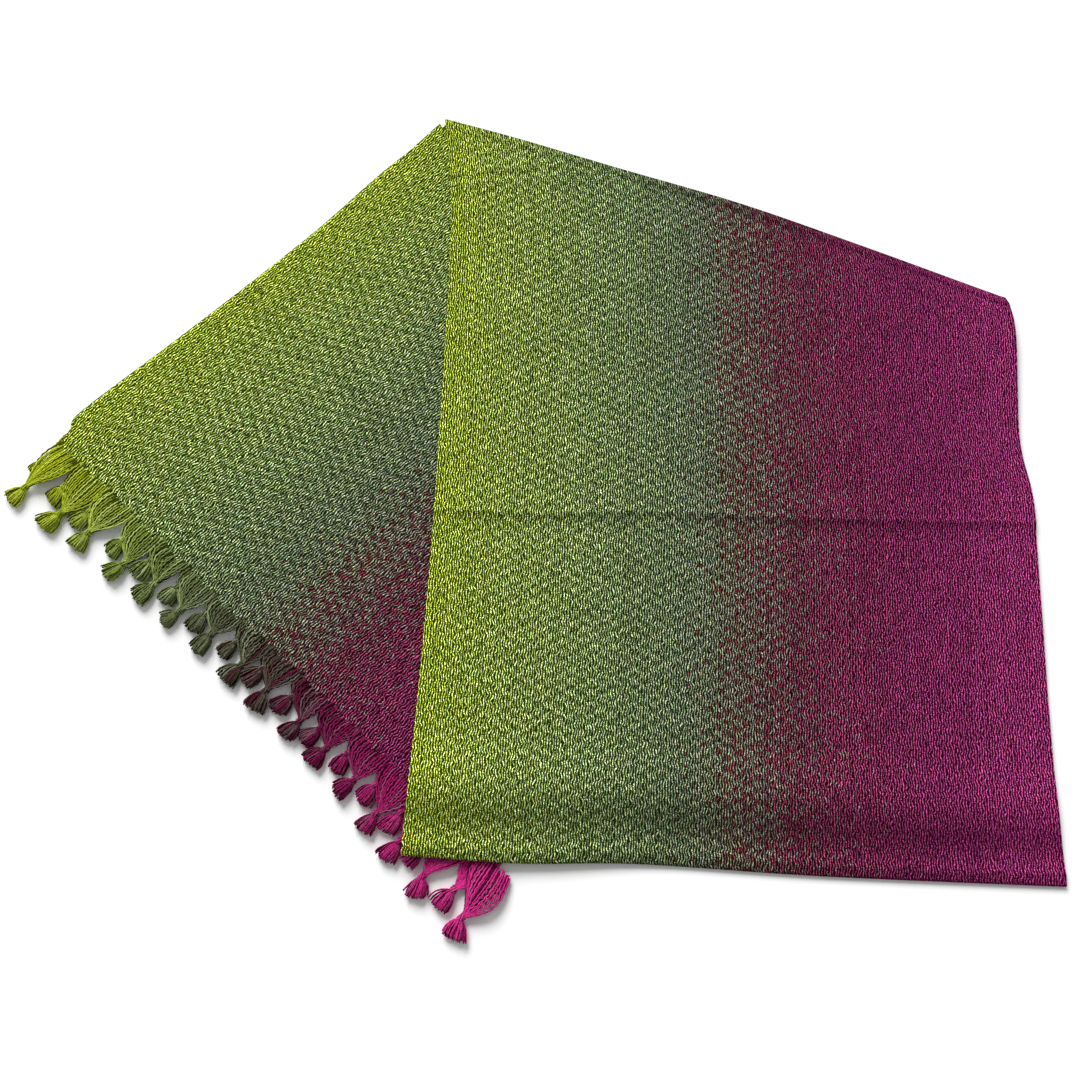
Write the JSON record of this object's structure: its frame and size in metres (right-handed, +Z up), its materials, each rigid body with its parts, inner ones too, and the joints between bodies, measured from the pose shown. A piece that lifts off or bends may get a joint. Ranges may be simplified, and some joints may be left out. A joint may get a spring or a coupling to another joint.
{
  "type": "folded fringed scarf",
  "caption": "Handwoven scarf with knotted tassels and a lime to magenta ombre, folded in half, folded again on a slant and laid flat.",
  "frame": {"origin": "on the surface that the scarf lies on, below the middle of its outline", "axes": "+Z up through the cloth's layers, +X across the front panel towards its magenta edge, +Y up the front panel from the half fold"},
  "size_m": [0.9588, 0.8186, 0.0143],
  "materials": {
    "front_cloth": "textured handwoven cotton, lime green at one selvage through olive and plum to magenta at the other",
    "back_cloth": "the same handwoven cotton, where its lime and olive side shows",
    "under_cloth": "the same handwoven cotton, seen at the edges and underneath",
    "warp_yarn": "unwoven cotton warp ends, gathered, knotted and trimmed to tassels"
  },
  "bodies": {
    "root": {"front_panel": "front_cloth", "back_panel": "back_cloth", "hidden_layers": "under_cloth", "fringe_upper": "warp_yarn", "fringe_lower": "warp_yarn"}
  },
  "joints": []
}
